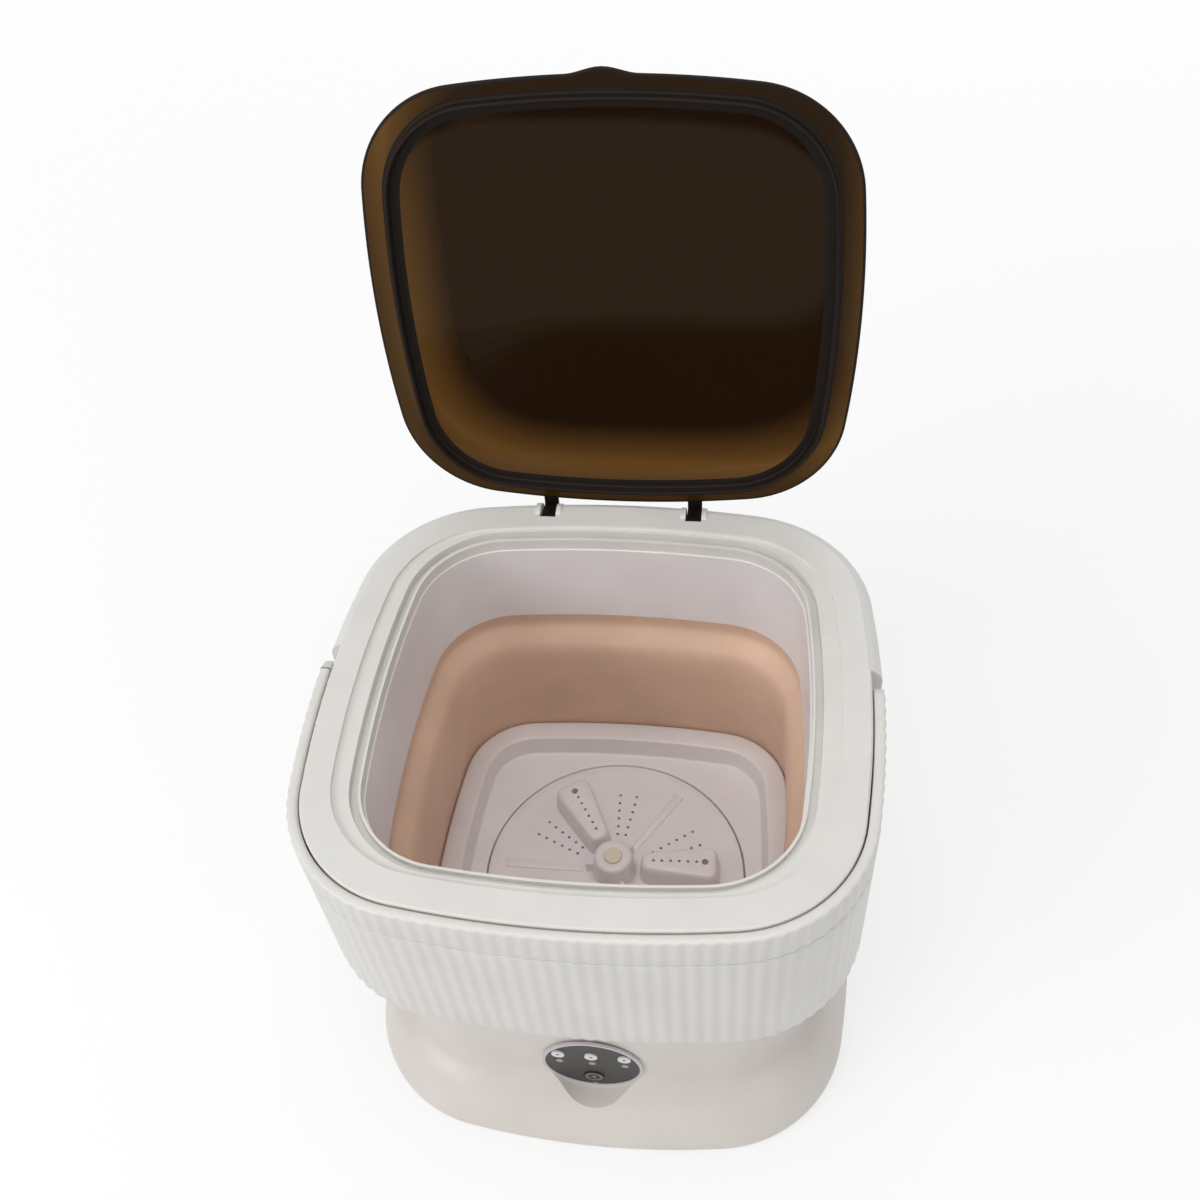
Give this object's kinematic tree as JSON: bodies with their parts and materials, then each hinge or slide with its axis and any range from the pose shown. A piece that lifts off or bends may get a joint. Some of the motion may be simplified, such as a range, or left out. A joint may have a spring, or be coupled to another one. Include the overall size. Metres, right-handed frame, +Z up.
{
  "type": "foldable washing machine",
  "caption": "Small collapsible tub washer with smoked hinged lid, ribbed housing, carry handle, soft folding wall and belt-driven pulsator",
  "frame": {"origin": "On the floor, under the middle of the tub", "axes": "+X right, -Y faces the user at the control panel, +Z up"},
  "size_m": [0.3126, 0.3362, 0.5263],
  "materials": {
    "shell_white": "satin moulded cream-white plastic",
    "inner_lilac": "satin moulded pale lilac-grey plastic",
    "soft_beige": "soft matte beige elastomer",
    "lid_smoke": "clear smoked brown plastic",
    "panel_black": "gloss black overlay",
    "bezel_silver": "silver-white plastic",
    "key_white": "white key caps",
    "window_grey": "frosted light windows",
    "cap_beige": "beige plastic cap",
    "steel": "plain steel",
    "motor_metal": "zinc-plated motor can",
    "rubber_black": "black rubber",
    "rubber_grey": "grey rubber",
    "board_green": "green circuit board",
    "pulley_grey": "grey nylon"
  },
  "bodies": {
    "base": {"base_shell": "shell_white", "bottom_cover": "shell_white", "tub_floor": "inner_lilac", "lower_clamp_ring": "shell_white", "folding_wall": "soft_beige", "panel_overlay": "panel_black", "panel_bezel": "bezel_silver", "indicator_windows": "window_grey", "upper_bearing": "steel", "lower_bearing": "steel", "shaft_seal": "rubber_black", "motor": "motor_metal", "motor_bracket": "steel", "bracket_screws": "steel", "motor_screws": "steel", "drive_belt": "rubber_black", "rubber_feet": "rubber_grey", "cover_screws": "steel", "wall_screws": "steel", "board_screws": "steel", "control_board": "board_green", "drain_elbow": "shell_white", "drain_hose": "rubber_grey", "drain_outlet": "shell_white", "power_inlet": "rubber_black"},
    "upper": {"top_rim": "shell_white", "lid_hinge_pins": "shell_white", "ribbed_band": "shell_white", "band_screws": "steel", "handle_pivot_pins": "shell_white", "inner_collar": "inner_lilac", "collar_screws": "steel", "upper_clamp_ring": "shell_white", "clamp_screws": "steel"},
    "pulsator": {"pulsator": "inner_lilac", "pulsator_cap": "cap_beige", "pulsator_screw": "steel", "drive_shaft": "steel", "driven_pulley": "pulley_grey", "pulley_nut": "steel"},
    "motor_rotor": {"motor_pulley": "pulley_grey", "motor_shaft": "steel"},
    "lid": {"lid": "lid_smoke"},
    "handle": {"carry_handle": "shell_white"},
    "key_left": {"key_left": "key_white"},
    "key_middle": {"key_middle": "key_white"},
    "key_right": {"key_right": "key_white"},
    "key_power": {"key_power": "key_white"},
    "drain_plug": {"drain_plug": "rubber_grey"}
  },
  "joints": [
    {"name": "tub_collapse", "type": "slide", "parent": "base", "child": "upper", "axis": [0, 0, -1], "range_m": [0, 0.093], "deforming": ["folding_wall"]},
    {"name": "lid_hinge", "type": "hinge", "parent": "upper", "child": "lid", "pos_m": [0, 0.138, 0.259], "axis": [1, 0, 0], "range_deg": [0, 97]},
    {"name": "handle_swing", "type": "hinge", "parent": "upper", "child": "handle", "pos_m": [0, 0.004, 0.25675], "axis": [-1, 0, 0], "range_deg": [0, 95]},
    {"name": "pulsator_spin", "type": "hinge", "parent": "base", "child": "pulsator", "pos_m": [0, 0, 0.07], "axis": [0, 0, 1], "continuous": true},
    {"name": "motor_spin", "type": "hinge", "parent": "base", "child": "motor_rotor", "pos_m": [0, 0.066, 0.02], "axis": [0, 0, 1], "continuous": true},
    {"name": "key_left_press", "type": "slide", "parent": "base", "child": "key_left", "axis": [0, 1, 0], "range_m": [0, 0.0006], "stiffness_N_per_m": 500},
    {"name": "key_middle_press", "type": "slide", "parent": "base", "child": "key_middle", "axis": [0, 1, 0], "range_m": [0, 0.0006], "stiffness_N_per_m": 500},
    {"name": "key_right_press", "type": "slide", "parent": "base", "child": "key_right", "axis": [0, 1, 0], "range_m": [0, 0.0006], "stiffness_N_per_m": 500},
    {"name": "key_power_press", "type": "slide", "parent": "base", "child": "key_power", "axis": [0, 1, 0], "range_m": [0, 0.0006], "stiffness_N_per_m": 500},
    {"name": "drain_plug_lift", "type": "slide", "parent": "base", "child": "drain_plug", "axis": [0, 0, 1], "range_m": [0, 0.03]}
  ],
  "couplings": [
    {"joint": "motor_spin", "follows": "pulsator_spin", "ratio": 6.1429}
  ]
}
